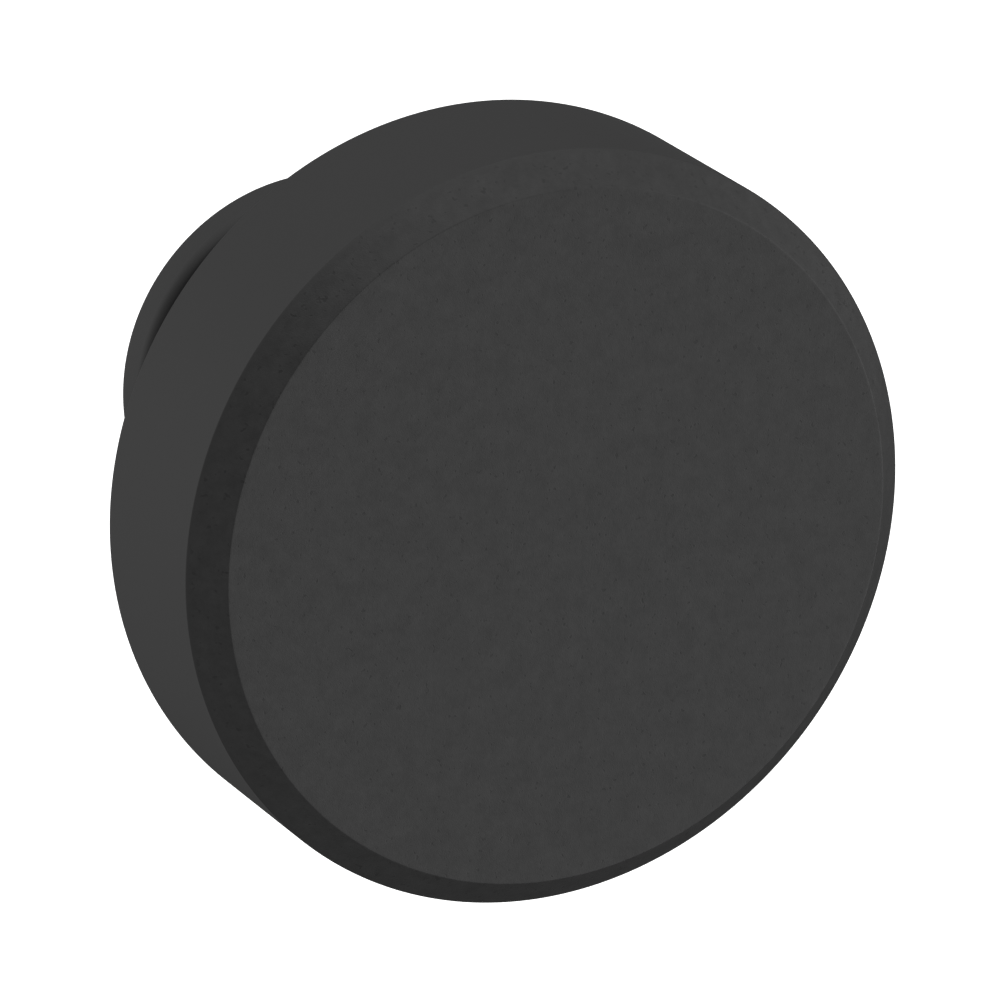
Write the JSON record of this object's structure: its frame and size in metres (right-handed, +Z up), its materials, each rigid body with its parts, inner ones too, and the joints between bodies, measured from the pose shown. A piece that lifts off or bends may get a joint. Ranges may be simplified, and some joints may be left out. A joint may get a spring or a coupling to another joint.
{
  "type": "security tag detacher",
  "caption": "Knob-shaped magnetic tag detacher: a round flat-faced magnet head with a chamfered rim on a waisted stem with a flanged, screw-fixed foot.",
  "frame": {"origin": "centre of the foot's seating face, on the detacher's axis, where the panel or fixture it is screwed to begins", "axes": "+Z up; -Y out of the panel, the way the flat working face looks; +Y into the panel, along the detacher's axis; +X to the right, seen from the front"},
  "size_m": [0.05, 0.038, 0.05],
  "materials": {
    "moulded_plastic": "fine spark-eroded grain",
    "black_screw": "black oxide",
    "zinc_steel": "bright zinc plate",
    "cage_nylon": "natural moulded",
    "nickel_magnet": "nickel plate",
    "foam": "closed-cell foam",
    "insert_brass": "turned and knurled",
    "foot_rubber": "moulded matt"
  },
  "bodies": {
    "root": {"head_shell": "moulded_plastic", "back_plate": "moulded_plastic", "stem": "moulded_plastic", "closing_screw_1": "black_screw", "closing_screw_2": "black_screw", "closing_screw_3": "black_screw", "closing_screw_4": "black_screw", "yoke_cup": "zinc_steel", "magnet_cage": "cage_nylon", "centre_magnet": "nickel_magnet", "ring_magnet_1": "nickel_magnet", "ring_magnet_2": "nickel_magnet", "ring_magnet_3": "nickel_magnet", "ring_magnet_4": "nickel_magnet", "ring_magnet_5": "nickel_magnet", "ring_magnet_6": "nickel_magnet", "ring_magnet_7": "nickel_magnet", "ring_magnet_8": "nickel_magnet", "foam_pad": "foam", "stem_screw": "zinc_steel", "stem_dowel_left": "zinc_steel", "stem_dowel_right": "zinc_steel", "head_insert": "insert_brass", "foot_insert": "insert_brass", "foot_ring": "foot_rubber"}
  },
  "joints": []
}
